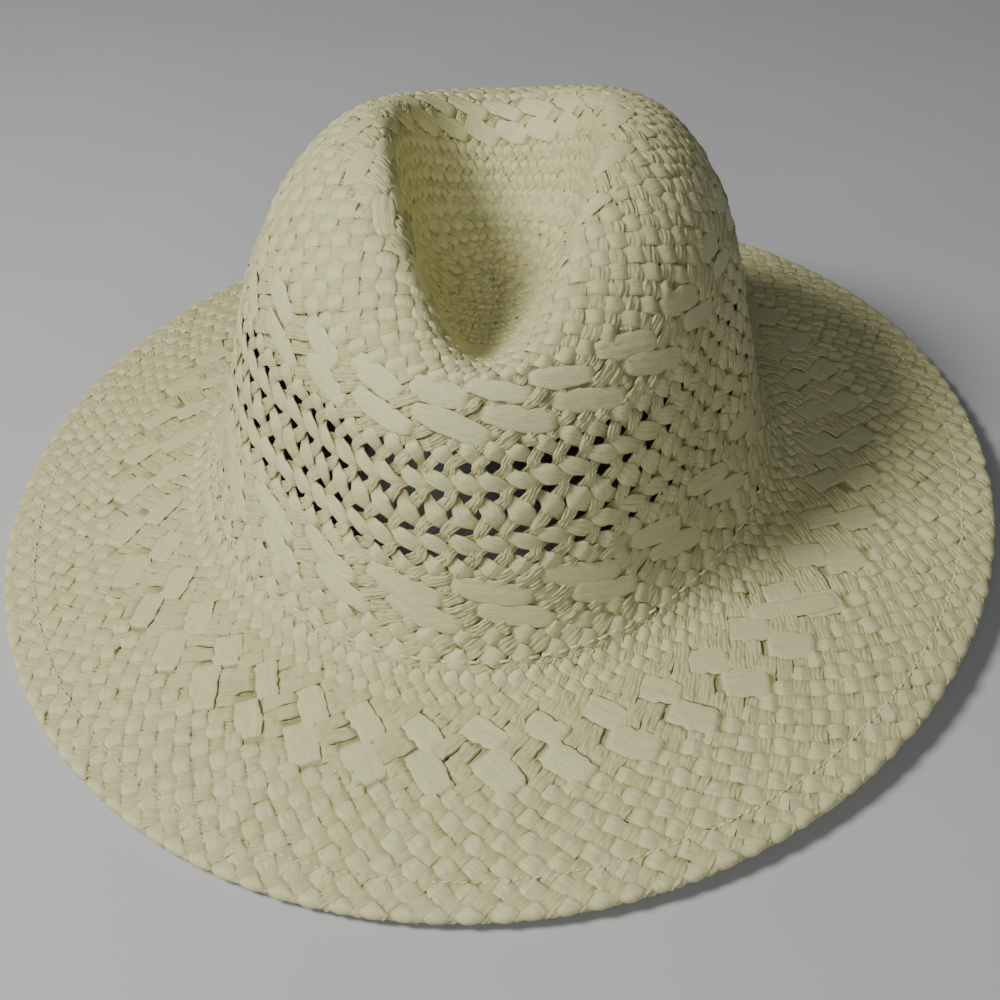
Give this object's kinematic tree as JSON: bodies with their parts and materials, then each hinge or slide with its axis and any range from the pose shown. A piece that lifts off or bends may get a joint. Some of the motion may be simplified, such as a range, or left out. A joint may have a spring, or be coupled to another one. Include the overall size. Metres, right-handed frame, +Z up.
{
  "type": "fedora hat",
  "caption": "Wide-brimmed paper-straw fedora with a pinched teardrop crown, an openwork plait round its side, smooth bands of long floats and a narrow hem turned under the brim",
  "frame": {"origin": "on the ground the brim stands on, under the middle of the hat's overall length and width", "axes": "+Z up, front of the hat -Y, +X the wearer's left"},
  "size_m": [0.3294, 0.3602, 0.1279],
  "materials": {
    "straw_plain": "twisted paper straw, plain one-over-one plait, faint natural sheen",
    "straw_floats": "paper straw in long smooth floats, soft sheen",
    "straw_openwork": "paper straw plaited with rows of small gaps",
    "sweatband_cloth": "ribbed cotton grosgrain",
    "sweatband_tape": "narrow cotton tape",
    "wire": "plain spring wire, hidden in the hem"
  },
  "bodies": {
    "root": {"tip_start": "straw_plain", "tip_plait": "straw_plain", "ridge_float_band": "straw_floats", "shoulder_plait": "straw_plain", "upper_float_band": "straw_floats", "openwork_band": "straw_openwork", "lower_float_band": "straw_floats", "crown_base_plait": "straw_plain", "brim_inner_plait": "straw_plain", "brim_float_band": "straw_floats", "brim_outer_plait": "straw_plain", "brim_hem": "straw_plain", "brim_wire": "wire", "sweatband": "sweatband_cloth", "sweatband_join": "sweatband_tape"}
  },
  "joints": []
}
